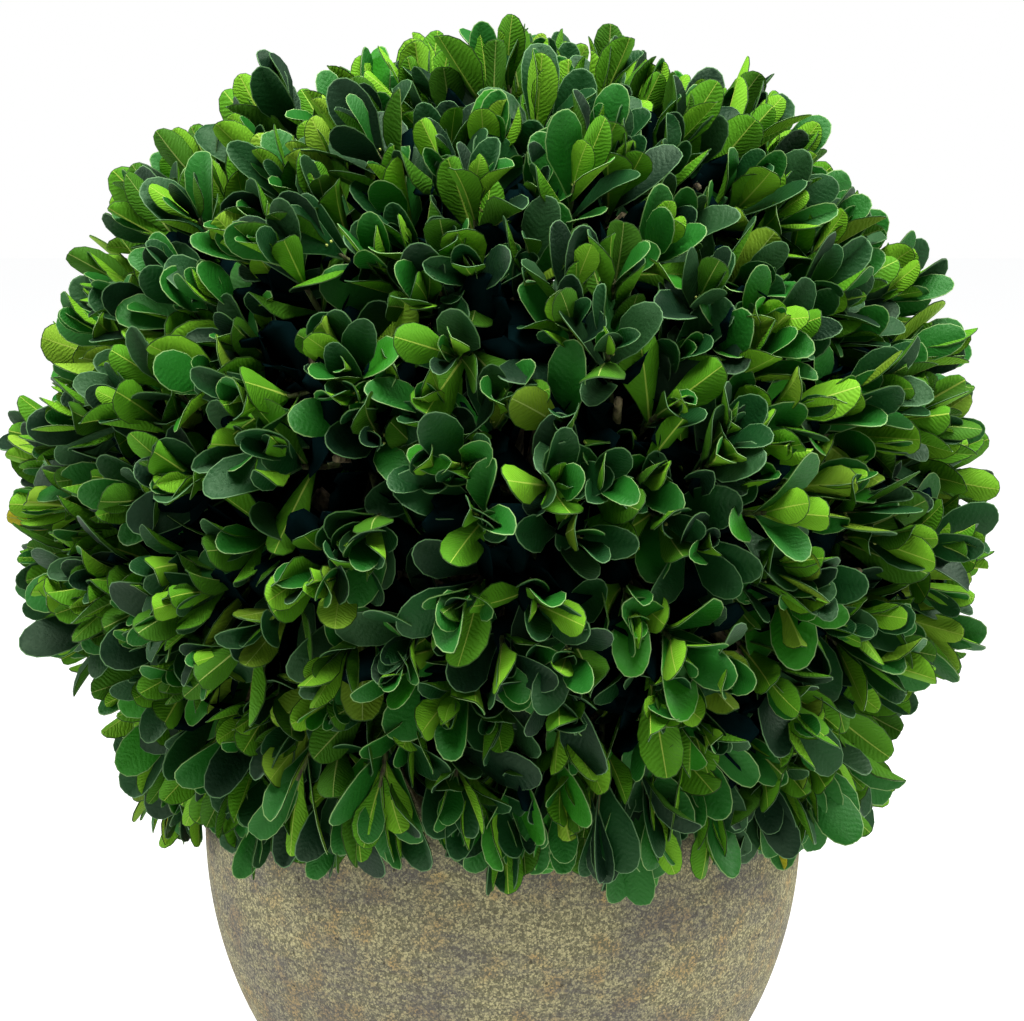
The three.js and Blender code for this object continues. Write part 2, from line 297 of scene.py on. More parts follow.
class Shader:
    """A material whose nodes are added by calls."""

    def __init__(self, name):
        self.material = bpy.data.materials.new(name)
        self.material.use_nodes = True
        self.tree = self.material.node_tree
        self.tree.nodes.clear()

    def node(self, kind, settings=None, inputs=None, output=0):
        """Adds a node, sets its settings and then its sockets' values or links, and returns an output."""
        made = self.tree.nodes.new(kind)
        for name, value in (settings or {}).items():
            if name == "stops":
                self.set_stops(made.color_ramp.elements, value)
            else:
                setattr(made, name, value)
        for name, value in (inputs or {}).items():
            socket = made.inputs[name]
            if isinstance(value, Wire):
                self.tree.links.new(value.socket, socket)
            elif socket.type == "RGBA":
                socket.default_value = (*value[:3], 1)
            else:
                socket.default_value = value
        return Wire(self, made.outputs[output]) if made.outputs else None

    @staticmethod
    def set_stops(elements, stops):
        """Sets a ramp's stops, as (place, grey) pairs."""
        for place, _ in stops[len(elements) :]:
            elements.new(place)
        for element, (place, grey) in zip(elements, stops):
            element.position = place
            element.color = (grey, grey, grey, 1)

    def math(self, operation, *values):
        return self.node("ShaderNodeMath", {"operation": operation}, dict(enumerate(values)))

    def vector_math(self, operation, inputs):
        return self.node("ShaderNodeVectorMath", {"operation": operation}, inputs)

    def mix(self, factor, first, second):
        """A colour between two, by a factor from 0 to 1."""
        return self.node("ShaderNodeMix", {"data_type": "RGBA"}, {0: factor, 6: first, 7: second}, 2)

    def place(self, stretch=(1, 1, 1)):
        """The point on the object, in its own coordinates, stretched."""
        point = self.node("ShaderNodeTexCoord", output="Object")
        return self.node("ShaderNodeMapping", {}, {"Vector": point, "Scale": stretch})

    def noise(self, place, size, detail=2.0):
        """Cloudy noise from 0 to 1 whose features have that size."""
        return self.node("ShaderNodeTexNoise", {}, {"Vector": place, "Scale": 1 / size, "Detail": detail})

    def loosened(self, place, size):
        """A place shifted about by up to that size, so that patterns on it lose their regular shapes."""
        cloud = {"Vector": place, "Scale": 1 / size, "Detail": 1.0}
        shift = self.node("ShaderNodeTexNoise", {}, cloud, "Color")
        centred = self.vector_math("SUBTRACT", {0: shift, 1: (0.5, 0.5, 0.5)})
        scaled = self.vector_math("SCALE", {0: centred, "Scale": size * 2})
        return self.vector_math("ADD", {0: place, 1: scaled})

    def grains(self, place, size):
        """Round grains, from 1 at their middles down to 0, and a number for each grain from 0 to 1."""
        cells = {"Vector": place, "Scale": 1 / size, "Randomness": 1.0}
        distance = self.node("ShaderNodeTexVoronoi", {}, cells, "Distance")
        tone = self.node("ShaderNodeTexVoronoi", {}, cells, "Color")
        return 1.0 - distance, self.node("ShaderNodeSeparateColor", {}, {0: tone}, 0)

    def ramp(self, value, *stops):
        """A value run through a ramp of (place, grey) stops."""
        return self.node("ShaderNodeValToRGB", {"stops": stops}, {"Fac": value})

    def bump(self, height, distance):
        """A normal bent by a height, of which 1 stands for that distance."""
        return self.node("ShaderNodeBump", {}, {"Height": height, "Distance": distance, "Strength": 1.0})

    def surface(self, **sockets):
        """Ends the material in a surface with these sockets, named as words joined by underscores."""
        inputs = {name.replace("_", " "): value for name, value in sockets.items()}
        skin = self.node("ShaderNodeBsdfPrincipled", {}, inputs)
        self.node("ShaderNodeOutputMaterial", {}, {"Surface": skin})
        return self.material


# Materials

# Sizes of features and heights of bumps, in metres.
BAND_SIZE = 0.012
GLAZE_BUMP = 0.00007
FIBRE_SIZE, GRIT_SIZE, SOIL_BUMP = 0.0018, 0.0009, 0.0006
CRACK_SIZE, FLECK_SIZE, BARK_BUMP = 0.0016, 0.0006, 0.0003
FACE_GRAIN, BACK_GRAIN, LINE_GRAIN = 0.0008, 0.0007, 0.0015

# Side veins on each half of a leaf's face and back. How they run is in shares of the leaf's length: how far
# they slant forwards, and the size and the height of their waver.
FACE_VEINS, BACK_VEINS = 14, 19
VEIN_SLANT, WAVER_SIZE, WAVER = 0.9, 0.14, 0.13


def pot_material(pot):
    """Sandy, matt glaze: round pale and dark grains over clouds of taupe and mauve, with pinholes."""
    shader = Shader("mottled_glaze")
    place = shader.place()
    patches = shader.noise(place, pot.patch_size, 3.0)
    bands = shader.noise(shader.place((1, 1, 7)), BAND_SIZE)
    clouds = shader.ramp(patches * 0.65 + bands * 0.35, (0.4, 0), (0.6, 1))
    warmth = shader.ramp(shader.noise(place, pot.patch_size * 0.35), (0.5, 0), (0.66, 1))
    ground = shader.mix(clouds, pot.mauve, pot.taupe)
    loose = shader.loosened(place, pot.grain_size)
    round_grain, tone = shader.grains(loose, pot.grain_size)
    dust = shader.noise(place, pot.grain_size * 0.8)
    pale = shader.ramp(dust * 0.45 + round_grain * tone, (0.36, 0), (0.78, 1))
    dark = shader.ramp(dust + tone * 0.35, (0.44, 1), (0.62, 0))
    speckled = shader.mix(dark * 0.45, ground, pot.umber)
    grain_colour = shader.mix(warmth * 0.7, pot.sand, pot.ochre)
    sandy = shader.mix(pale * (clouds * 0.4 + 0.4), speckled, grain_colour)
    pinhole, _ = shader.grains(loose, pot.pinhole_spacing)
    holes = shader.ramp(pinhole, (0.905, 0), (0.94, 1))
    return shader.surface(
        Base_Color=shader.mix(holes * 0.85, sandy, pot.umber),
        Roughness=0.97 - pale * 0.14,
        Normal=shader.bump(dust * 0.5 + round_grain * 0.5 - holes * 2.0, GLAZE_BUMP),
        Specular_IOR_Level=0.3,
    )


def soil_material(soil):
    """Dark crumbly peat with paler fibres."""
    shader = Shader("potting_mix")
    fibres = shader.ramp(shader.noise(shader.place((1, 3, 1)), FIBRE_SIZE, 4.0), (0.55, 0), (0.7, 1))
    grit = shader.noise(shader.place(), GRIT_SIZE, 3.0)
    return shader.surface(
        Base_Color=shader.mix(fibres * 0.6, soil.peat, soil.fibre),
        Roughness=1.0 - grit * 0.1,
        Normal=shader.bump(grit + fibres * 0.5, SOIL_BUMP),
    )


def bark_material(name, ridge, furrow):
    """Bark with darker furrows between its ridges."""
    shader = Shader(name)
    cracks = shader.noise(shader.place((1, 1, 0.35)), CRACK_SIZE, 4.0)
    height = shader.ramp(cracks, (0.36, 0), (0.6, 1))
    fleck = shader.noise(shader.place(), FLECK_SIZE)
    return shader.surface(
        Base_Color=shader.mix(height, furrow, ridge),
        Roughness=0.95 - fleck * 0.15,
        Normal=shader.bump(height + fleck * 0.3, BARK_BUMP),
    )


def face_material(name, tint, depth):
    """The satin upper face of a leaf, with faint side veins."""
    shader = Shader(name)
    veins = leaf_veins(shader, FACE_VEINS)
    grain = shader.noise(shader.place(), FACE_GRAIN, 3.0)
    return shader.surface(
        Base_Color=tint,
        Roughness=0.40 + grain * 0.28,
        Normal=shader.bump(veins * 0.6 + grain * 2.6, depth),
        Specular_IOR_Level=0.32,
        Specular_Tint=(0.65, 1, 0.6),
    )


def back_material(name, tint, depth):
    """The matt underside of a leaf, with a herringbone of side veins."""
    shader = Shader(name)
    veins = leaf_veins(shader, BACK_VEINS)
    grain = shader.noise(shader.place(), BACK_GRAIN, 3.0)
    return shader.surface(
        Base_Color=tint,
        Roughness=0.55 + grain * 0.2,
        Normal=shader.bump(veins * 1.4 + grain * 1.9, depth),
        Specular_IOR_Level=0.1,
    )


def leaf_veins(shader, pairs):
    """Side veins that leave the midrib at a slant, from 0 between them to 1 along them. The flat coordinates
    run from the leaf's root at 0 to its tip at 1, and have the midrib at 0.5 across."""
    flat = shader.node("ShaderNodeUVMap", {"uv_map": "blade"})
    along = shader.node("ShaderNodeSeparateXYZ", {}, {0: flat}, 0)
    across = shader.node("ShaderNodeSeparateXYZ", {}, {0: flat}, 1)
    aside = shader.math("ABSOLUTE", across - 0.5)
    waver = shader.noise(flat, WAVER_SIZE) * WAVER
    wave = shader.math("SINE", (along - aside * VEIN_SLANT + waver) * (2 * math.pi * pairs))
    return wave * 0.5 + 0.5


def plain_leaf_material(name, tint, roughness, gloss=0.15):
    """A thin line of a leaf, such as its rim or its rib, or a leaf that is always in the shade."""
    shader = Shader(name)
    grain = shader.noise(shader.place(), LINE_GRAIN)
    return shader.surface(Base_Color=tint, Roughness=roughness + grain * 0.2, Specular_IOR_Level=gloss)


def floor_material(stage):
    """A matt floor that glows a little, so that it stays pale under soft light."""
    shader = Shader("studio_floor")
    return shader.surface(
        Base_Color=stage.floor,
        Roughness=0.9,
        Emission_Color=stage.floor_light,
        Emission_Strength=stage.floor_glow,
    )


# Meshes


def add_piece(name, mesh, materials, node):
    """Puts a finished mesh into the scene as a piece that stands for a CAD node."""
    for material in materials:
        mesh.materials.append(material)
    made = bpy.data.objects.new(name, mesh)
    bpy.context.scene.collection.objects.link(made)
    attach(made, "root")
    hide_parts(node)
    return made


def mesh_of(name, bm):
    """The smooth mesh of a bmesh, which is freed."""
    mesh = bpy.data.meshes.new(name)
    for face in bm.faces:
        face.smooth = True
    bm.to_mesh(mesh)
    bm.free()
    return mesh


def turned(section, steps):
    """A closed body of revolution about Z from its half section, as (radius, height) pairs."""
    bm = bmesh.new()
    points = [bm.verts.new((radius, 0, height)) for radius, height in section]
    edges = [bm.edges.new(pair) for pair in zip(points, points[1:])]
    bmesh.ops.spin(
        bm, geom=points + edges, cent=(0, 0, 0), axis=UP, angle=math.tau, steps=steps, use_merge=True
    )
    bmesh.ops.remove_doubles(bm, verts=bm.verts, dist=TOUCHING)
    bmesh.ops.recalc_face_normals(bm, faces=bm.faces)
    return bm


class Blank:
    """A small mesh that is set down many times: its points, and its faces with their kinds."""

    def __init__(self, bm):
        bm.verts.index_update()
        self.points = np.array([v.co for v in bm.verts])
        self.faces = [[v.index for v in face.verts] for face in bm.faces]
        self.kinds = np.array([face.material_index for face in bm.faces])
        bm.free()


def joined_mesh(name, blank, places, slots=None, flat=None, sharp=None):
    """One mesh of many copies of a blank. places has each copy's points, and slots each copy's material for
    each kind of face. flat has each point's flat coordinates, and sharp is true where the shading breaks."""
    copies, points = places.shape[:2]
    corners = np.concatenate(blank.faces)
    starts = np.cumsum([0] + [len(face) for face in blank.faces[:-1]])
    nth = np.arange(copies)[:, None]
    mesh = bpy.data.meshes.new(name)
    mesh.vertices.add(copies * points)
    mesh.loops.add(copies * len(corners))
    mesh.polygons.add(copies * len(starts))
    whole = np.int32
    mesh.vertices.foreach_set("co", places.astype(np.float32).ravel())
    mesh.loops.foreach_set("vertex_index", (corners + nth * points).astype(whole).ravel())
    mesh.polygons.foreach_set("loop_start", (starts + nth * len(corners)).astype(whole).ravel())
    if slots is not None:
        mesh.polygons.foreach_set("material_index", slots[:, blank.kinds].astype(whole).ravel())
    if flat is not None:
        blade = mesh.uv_layers.new(name="blade")
        blade.data.foreach_set("uv", np.tile(flat[corners].astype(np.float32).ravel(), copies))
    mesh.update(calc_edges=True)
    mesh.shade_smooth()
    if sharp is not None:
        ends = np.empty(len(mesh.edges) * 2, whole)
        mesh.edges.foreach_get("vertices", ends)
        broken = sharp[ends.reshape(-1, 2) % points].all(axis=1)
        mesh.attributes.new("sharp_edge", "BOOLEAN", "EDGE").data.foreach_set("value", broken)
    return mesh


def tube_blank(rings, sides):
    """A closed tube of that many rings, whose points hold their ring's number as their height."""
    bm = bmesh.new()
    bmesh.ops.create_cone(bm, cap_ends=True, radius1=1, radius2=1, depth=rings - 1, segments=sides)
    bmesh.ops.translate(bm, verts=bm.verts, vec=UP * (rings - 1) / 2)
    for level in range(1, rings - 1):
        everything = bm.verts[:] + bm.edges[:] + bm.faces[:]
        bmesh.ops.bisect_plane(bm, geom=everything, dist=1e-5, plane_co=UP * level, plane_no=UP)
    return Blank(bm)


def unit(vectors):
    return vectors / np.linalg.norm(vectors, axis=-1, keepdims=True)


def tube_places(blank, paths, radii):
    """The points of tubes along paths, an array of tubes by rings by 3, with a radius at each ring."""
    ways = unit(np.gradient(paths, axis=1))
    aside = np.where(np.abs(ways[:, :1, 2:]) < 0.9, (0.0, 0.0, 1.0), (1.0, 0.0, 0.0))
    first = unit(np.cross(ways, aside))
    second = np.cross(ways, first)
    ring = blank.points[:, 2].round().astype(int)
    turn_x, turn_y = blank.points[:, 0], blank.points[:, 1]
    around = first[:, ring] * turn_x[None, :, None] + second[:, ring] * turn_y[None, :, None]
    return paths[:, ring] + around * radii[:, ring, None]


# The growing rule

# Rings of hem twigs: how far the first lies below the ball's lowest twigs and each ring below the one before,
# as shares of the radius, and the share of the droop that the first ring has and each further ring adds.
RING_START, RING_STEP = 0.01, 0.04
DROOP_START, DROOP_STEP = 0.5, 0.3

# The tuck begins this far below the ball's centre and is full after this much more, as shares of the radius.
TUCK_START, TUCK_FADE = 0.15, 0.35

HEM_STEEPNESS = 0.6  # how much less a hem twig points outwards
BACK_SHARE = (0.7, 0.6)  # least share of the way back to a twig's root, and the most that is added
PATH_POINTS = 9  # points of a twig that have to keep clear of the pot


def seeded(seed):
    """Even random numbers from 0 to 1, the same on every run and the same as the CAD model's."""
    word = 0xFFFFFFFF
    state = seed

    def draw():
        nonlocal state
        state = (state + 0x6D2B79F5) & word
        mixed = (state ^ (state >> 15)) * (state | 1) & word
        mixed ^= (mixed + (mixed ^ (mixed >> 7)) * (mixed | 61)) & word
        return (mixed ^ (mixed >> 14)) / (word + 1)

    return draw


class Growth:
    """The plant: its boughs' ends, shoots and twigs, grown from one seed."""

    Shoot = namedtuple("Shoot", "root end roll")
    Twig = namedtuple("Twig", "root bend end roll droop")

    def __init__(self, ball, twig, pot):
        self.ball = ball
        self.twig = twig
        self.pot = pot
        self.centre = Vector((0, 0, ball.centre_height))
        self.draw = seeded(ball.seed)
        self.bough_ends = [
            self.ball_point(math.asin(rise), turn, ball.bough_reach)
            for rise, turn in self.even_directions(ball.boughs, ball.bough_depth)
        ]
        self.shoots = [
            self.shoot_at(rise, turn, ball.shoot_tip)
            for rise, turn in self.even_directions(ball.shoots, ball.shoot_depth)
        ]
        self.shoots += [
            self.shoot_at(-ball.hem_depth, i * math.tau / ball.hem_shoots, ball.hem_tip)
            for i in range(ball.hem_shoots)
        ]
        self.draw = seeded(twig.seed)
        self.twigs = [
            self.twig_at(rise, turn, 0.0) for rise, turn in self.even_directions(twig.twigs, twig.depth)
        ]
        for ring in range(twig.hem_rings):
            for i in range(twig.hem_twigs):
                turn = (i + ring / 2) * math.tau / twig.hem_twigs
                rise = -twig.depth - RING_START - RING_STEP * ring
                droop = twig.hem_droop * (DROOP_START + DROOP_STEP * ring)
                self.twigs.append(self.twig_at(rise, turn, droop))
        paths = curved_paths([(t.root, t.bend, t.end) for t in self.twigs], PATH_POINTS)
        roomy = self.has_room(paths, twig.twig_radius)
        self.twigs = [t for t, kept in zip(self.twigs, roomy) if kept]

    @staticmethod
    def even_directions(number_of, depth):
        """Even directions from the top to a depth below the centre, each as its rise and its turn."""
        return [
            (1 - ((i + 0.5) / number_of) * (1 + depth), i * GOLDEN_ANGLE) for i in range(number_of)
        ]

    def ball_point(self, tilt, turn, reach):
        """The point at a tilt above the level, a turn round the stem and a distance from the centre."""
        level = reach * math.cos(tilt)
        height = reach * math.sin(tilt) * self.ball.flatness
        return self.centre + Vector((level * math.cos(turn), level * math.sin(turn), height))

    def unevenly(self, middle, spread):
        """A random number that lies within the spread on either side of the middle."""
        return middle + (self.draw() - 0.5) * 2 * spread

    def shoot_at(self, rise, turn, tip):
        """A shoot from the end of the nearest bough to its own place in the ball."""
        ball = self.ball
        tilt = self.unevenly(math.asin(rise), ball.shoot_lean)
        end = self.ball_point(
            tilt, self.unevenly(turn, ball.shoot_lean), self.unevenly(tip, ball.shoot_tip_spread)
        )
        root = min(self.bough_ends, key=lambda point: (point - end).length)
        return self.Shoot(root, end, self.draw() * math.pi)

    def twig_at(self, rise, turn, droop):
        """A twig from the side of the nearest shoot, bent towards its own place in the clipped surface."""
        twig = self.twig
        tilt = self.unevenly(math.asin(rise), twig.stray)
        tucked = min(1, max(0, -rise - TUCK_START) / TUCK_FADE)
        tip = twig.hem_tip if droop else twig.tip - twig.tuck * tucked
        spread = twig.hem_spread if droop else twig.tip_spread
        end = self.ball_point(tilt, self.unevenly(turn, twig.stray), self.unevenly(tip, spread))
        shoot = min(self.shoots, key=lambda shoot: (shoot.end - end).length)
        along = (shoot.end - shoot.root).normalized()
        back = min(
            twig.back * (BACK_SHARE[0] + BACK_SHARE[1] * self.draw()), (shoot.end - shoot.root).length
        )
        root = shoot.end - along * back
        lean = Vector([self.unevenly(0, twig.lean) for _ in range(3)])
        out = (end - self.centre).normalized()
        if droop:
            out.z = min(out.z, 0)
            lean -= Vector((out.x, out.y, 0)) * HEM_STEEPNESS
        way = (out + lean - UP * droop).normalized()
        return self.Twig(root, end - way * twig.straight, end, self.draw() * math.pi, droop)

    def pot_radius(self, height):
        """The pot's outer radius at a height."""
        share_up = (height - self.pot.belly_height) / self.pot.side_reach
        return self.pot.belly_radius * np.sqrt(np.maximum(0, 1 - share_up * share_up))

    def has_room(self, places, thickness=0.0):
        """Which copies, of copies by points by 3, keep in reach, off the pot and above the hem line."""
        gap = self.ball.pot_gap + thickness
        inside = np.linalg.norm(places - np.array(self.centre), axis=2).max(axis=1) < self.ball.reach
        level = np.hypot(places[..., 0], places[..., 1])
        height = places[..., 2]
        over_pot = (height < self.pot.height + gap) & (level < self.pot_radius(height) + gap)
        too_low = height < self.twig.hem_line
        return inside & ~(over_pot | too_low).any(axis=1)


def grown():
    """The plant as the scene's settings have it, the same each time."""
    scene = bpy.context.scene
    return Growth(scene.topiary_ball, scene.topiary_twig, scene.topiary_pot)


def curve_point(points, t):
    """The point and direction at t, from 0 to 1, of a curve from a root past a bend to an end."""
    root, bend, end = points
    place = root * (1 - t) ** 2 + bend * (2 * t * (1 - t)) + end * t**2
    way = (bend - root) * (1 - t) + (end - bend) * t
    return place, way.normalized()


def curved_paths(curves, rings):
    """Curves sampled at even shares, an array of curves by rings by 3."""
    return np.array(
        [[curve_point(points, i / (rings - 1))[0] for i in range(rings)] for points in curves]
    )


def tapers(number_of, rings, thick, thin):
    """Radii of tubes that thin evenly, an array of tubes by rings."""
    return np.tile(np.linspace(thick, thin, rings), (number_of, 1))


# Leaves

KINDS = 5
FACE, RIM, BACK, RIB, EDGE = range(KINDS)

# Pairs of leaves down a twig: distance of the pair from the twig's end and leaf length, in millimetres, then
# how wide the leaves open from the twig and how far they curl outwards along their length, in degrees.
Pair = namedtuple("Pair", "back length opening curl")
PAIRS = (
    Pair(0.5, 14.5, 8, -5),
    Pair(3.0, 20.0, 13, -2),
    Pair(7.5, 24.0, 20, 4),
    Pair(12.5, 25.5, 28, 8),
    Pair(18.0, 25.0, 38, 12),
)

# Where the old leaves in the shade stand on a twig, as shares of its length. A hem twig has no last pair.
OLD_PAIRS = (0.12, 0.34, 0.56)

# Middles and spreads of what varies from leaf to leaf, in the order that they are drawn. The width is a share
# of the width in the settings, and the sickle and the notch at the tip are shares of the length. Angles are
# in radians, but a surface leaf's curl is in degrees. An old leaf's size is in millimetres.
OPEN_LEAF = {
    "width": (0.98, 0.14),
    "fold": (0.16, 0.12),
    "cup": (0.28, 0.3),
    "twist": (0, 0.35),
    "sickle": (0, 0.06),
    "curl": (0, 24),
    "notch": (0.004, 0.016),
}
FOLDED_LEAF = {**OPEN_LEAF, "fold": (0.95, 0.25)}
OLD_LEAF = {
    "size": (21, 3),
    "width": (1.15, 0),
    "fold": (0.1, 0),
    "cup": (0.2, 0),
    "twist": (0, 0.5),
    "sickle": (0, 0),
    "curl": (0.2, 0.4),
    "notch": (0, 0),
}
BENDS = ("size", *OPEN_LEAF)

OPENING_SPREAD = 11  # of a surface leaf, in degrees
SIZE_SPREAD = 0.16  # as a share of its length
PLACE_SPREAD = 0.12  # as a share of its distance from the twig's end
ROLL_SPREAD = 0.3  # round the twig, in radians
OLD_OPENING = (55, 25)  # middle and spread for an old leaf, in degrees
FACE_SPIN = math.radians(22)  # how far a leaf turns about its own length
HEM_SAG = (0.35, 0.5)  # least sag of a hem leaf as a share of its twig's droop, and the most that is added
HEM_FACING = 1.6  # how strongly the faces of hem leaves turn outwards
NEAREST_ROOT = 0.05  # no leaf stands closer to a twig's root, as a share of the twig


def leaf_half_width(x):
    """Half the width of a leaf as a share of its greatest half width, at a share of its length. The powers
    put the widest place past the middle, narrow the root and keep the tip blunt."""
    return math.sin(math.pi * min(x, 0.999) ** 1.7) ** (0.95 - 0.52 * x)


def leaf_blank(leaf, rows, detailed):
    """A flat leaf along +X with its upper face up: that face is creased along the middle, a rim slopes down
    to the outline, and the underside has a narrow midrib and an edge that meets the rim there."""
    bm = bmesh.new()
    bmesh.ops.create_grid(bm, x_segments=rows, y_segments=3, size=0.5)
    for point in bm.verts:
        along = 1 - (0.5 - point.co.x) ** 2
        half = max(leaf_half_width(along) * leaf.width / 2, leaf.rib)
        rib = leaf.rib / 2 * (1 - 0.7 * along)
        across = half if abs(point.co.y) > 0.4 else rib
        point.co = (along * leaf.length, math.copysign(across, point.co.y), 0)
    bmesh.ops.recalc_face_normals(bm, faces=bm.faces)
    if bm.faces[:][0].normal.z < 0:
        bmesh.ops.reverse_faces(bm, faces=bm.faces)
    upper = bm.faces[:]
    copied = bmesh.ops.duplicate(bm, geom=bm.verts[:] + bm.edges[:] + upper)["geom"]
    lower = [g for g in copied if isinstance(g, bmesh.types.BMFace)]
    bmesh.ops.reverse_faces(bm, faces=lower)
    for face in lower:
        face.material_index = RIB if abs(face.calc_center_median().y) < leaf.rib * 0.1 else BACK
    if detailed:
        rim = inset_faces(bm, upper, leaf.rim, leaf.thickness / 2)
        edge = inset_faces(bm, lower, leaf.rim, leaf.thickness / 2)
        for kind, faces in ((RIM, rim), (EDGE, edge)):
            for face in faces:
                face.material_index = kind
    else:
        for point in {v for face in upper for v in face.verts if not v.is_boundary}:
            point.co.z = leaf.thickness
    for point in {v for face in upper for v in face.verts if not v.is_boundary}:
        if abs(point.co.y) < leaf.rib and leaf.rim < point.co.x < leaf.length - leaf.rim * 2:
            point.co.y = 0
    bmesh.ops.remove_doubles(bm, verts=bm.verts, dist=0.001 * MM)
    return Blank(bm)


def inset_faces(bm, faces, thickness, depth):
    """Insets a patch of faces and lifts it, and returns the new faces round it."""
    made = bmesh.ops.inset_region(
        bm, faces=faces, thickness=thickness, depth=depth, use_boundary=True, use_even_offset=True
    )
    return made["faces"]


class LeafBed:
    """Leaves that wait to be made: where each is rooted, how it stands, how it is bent and its colours."""

    def __init__(self):
        self.rows = []

    def add(self, root, way, face, **shape):
        self.rows.append({"root": root, "way": way, "face": face, **shape})

    def column(self, name):
        return np.array([row[name] for row in self.rows], float)

    def places(self, blank, leaf):
        """The points of every leaf, an array of leaves by points by 3."""
        value = {name: self.column(name)[:, None] for name in BENDS}
        along = blank.points[None, :, 0] / leaf.length
        aside = blank.points[None, :, 1] * value["width"]
        lift = blank.points[None, :, 2]
        out = np.abs(aside) / (leaf.width / 2)
        notch = value["notch"] * np.clip(1 - out * 3.5, 0, 1) * np.clip(along * 6 - 5, 0, 1)
        rise = value["fold"] * (1 - 0.55 * along) + value["cup"] * out
        across = aside * np.cos(rise) - lift * np.sin(rise) * np.sign(aside)
        height = np.abs(aside) * np.sin(rise) + lift * np.cos(rise)
        turn = value["twist"] * along
        across, height = (
            across * np.cos(turn) - height * np.sin(turn),
            across * np.sin(turn) + height * np.cos(turn),
        )
        across = across + value["sickle"] * along**2 * leaf.length
        curl = np.where(np.abs(value["curl"]) < 1e-3, 1e-3, value["curl"])
        bent = curl * along
        radius = leaf.length / curl
        forward = radius * np.sin(bent) + height * np.sin(bent) - notch * leaf.length
        height = height * np.cos(bent) - radius * (1 - np.cos(bent))
        shape = np.stack([forward, across, height], axis=2) * (value["size"] / leaf.length)[..., None]
        way, face = self.column("way"), self.column("face")
        side = np.cross(face, way)
        frames = np.stack([way, side, face], axis=1)
        return np.einsum("npi,nij->npj", shape, frames) + self.column("root")[:, None]


def stand_leaf(bed, twig, draw, t, roll, opening, turned_over, **shape):
    """Adds a leaf at t on a twig, turned round it by roll and open from it by an angle."""
    place, axis = curve_point((twig.root, twig.bend, twig.end), t)
    aside = UP if abs(axis.z) < 0.9 else Vector((1, 0, 0))
    across = Matrix.Rotation(roll, 3, axis) @ axis.cross(aside).normalized()
    sag = twig.droop * (HEM_SAG[0] + HEM_SAG[1] * draw())
    way = axis * math.cos(opening) + across * math.sin(opening) - UP * sag
    way.normalize()
    face = way.cross(axis.cross(across)).normalized()
    if twig.droop:
        outwards = Vector((place.x, place.y, 0)).normalized()
        face = (face + (outwards - way * outwards.dot(way)) * HEM_FACING).normalized()
    spin = FACE_SPIN * (draw() + draw() + draw() - 1.5)
    face = Matrix.Rotation(spin + (math.pi if turned_over else 0), 3, way) @ face
    bed.add(place, way, face, **shape)


def leaf_beds(growth, leaf):
    """Every leaf of the clipped surface, and the old leaves in the shade below it."""
    draw, unevenly = growth.draw, growth.unevenly
    fresh_bed, old_bed = LeafBed(), LeafBed()
    for twig in growth.twigs:
        tone = draw()
        reach = (twig.end - twig.bend).length
        first = 0 if draw() < leaf.young else 1
        for level, pair in enumerate(PAIRS[first:], first):
            for side in (0, math.pi):
                opening = math.radians(unevenly(pair.opening, OPENING_SPREAD))
                variety = FOLDED_LEAF if draw() < leaf.folded else OPEN_LEAF
                size = pair.length * MM * unevenly(1, SIZE_SPREAD)
                back = pair.back * MM * unevenly(1, PLACE_SPREAD)
                t = max(NEAREST_ROOT, 1 - back / (2 * reach))
                roll = twig.roll + side + level * math.pi / 2 + unevenly(0, ROLL_SPREAD)
                turned_over = draw() < leaf.turned_over
                bends = varied(growth, variety)
                bends["curl"] = math.radians(pair.curl + bends["curl"])
                bends["notch"] = max(0.0, bends["notch"])
                bends.update(size=size, tone=tone, hue=draw(), level=level)
                stand_leaf(fresh_bed, twig, draw, t, roll, opening, turned_over, **bends)
        for t in OLD_PAIRS[:-1] if twig.droop else OLD_PAIRS:
            for _ in range(2):
                roll = draw() * math.tau
                opening = math.radians(unevenly(*OLD_OPENING))
                turned_over = draw() < 0.5
                bends = varied(growth, OLD_LEAF)
                bends["size"] *= MM
                stand_leaf(old_bed, twig, draw, t, roll, opening, turned_over, **bends)
    return fresh_bed, old_bed


def varied(growth, variety):
    """A leaf's measures by name, drawn where they have a spread."""
    return {
        name: growth.unevenly(middle, spread) if spread else middle
        for name, (middle, spread) in variety.items()
    }


# Shades of the faces and backs, and the moods that sprays are dealt: each mood's share of the sprays, and the
# faces and backs that its leaves have, each for a quarter of them.
FACES = ("deep", "bottle", "green", "fresh", "grey", "olive")
BACKS = ("leaf", "bright", "deep", "lime", "olive", "gold")
MOODS = (
    (0.31, ("bottle", "deep", "green", "bottle"), ("leaf", "deep", "leaf", "bright")),
    (0.26, ("deep", "bottle", "grey", "deep"), ("deep", "leaf", "deep", "leaf")),
    (0.20, ("green", "bottle", "fresh", "green"), ("bright", "leaf", "bright", "lime")),
    (0.10, ("grey", "bottle", "grey", "green"), ("leaf", "deep", "olive", "leaf")),
    (0.10, ("fresh", "green", "fresh", "green"), ("lime", "bright", "bright", "lime")),
    (0.03, ("olive", "green", "grey", "grey"), ("gold", "olive", "deep", "leaf")),
)

# Roughness of the leaf's thin lines.
LINES = {"edge": 0.5, "rim_sage": 0.4, "rim_pale": 0.4, "rib_pale": 0.45, "rib_dull": 0.45}

# The outermost pairs of a twig have the young shades where a leaf's random number is above this.
YOUNG_PAIRS, YOUNG_FROM = 2, 0.55


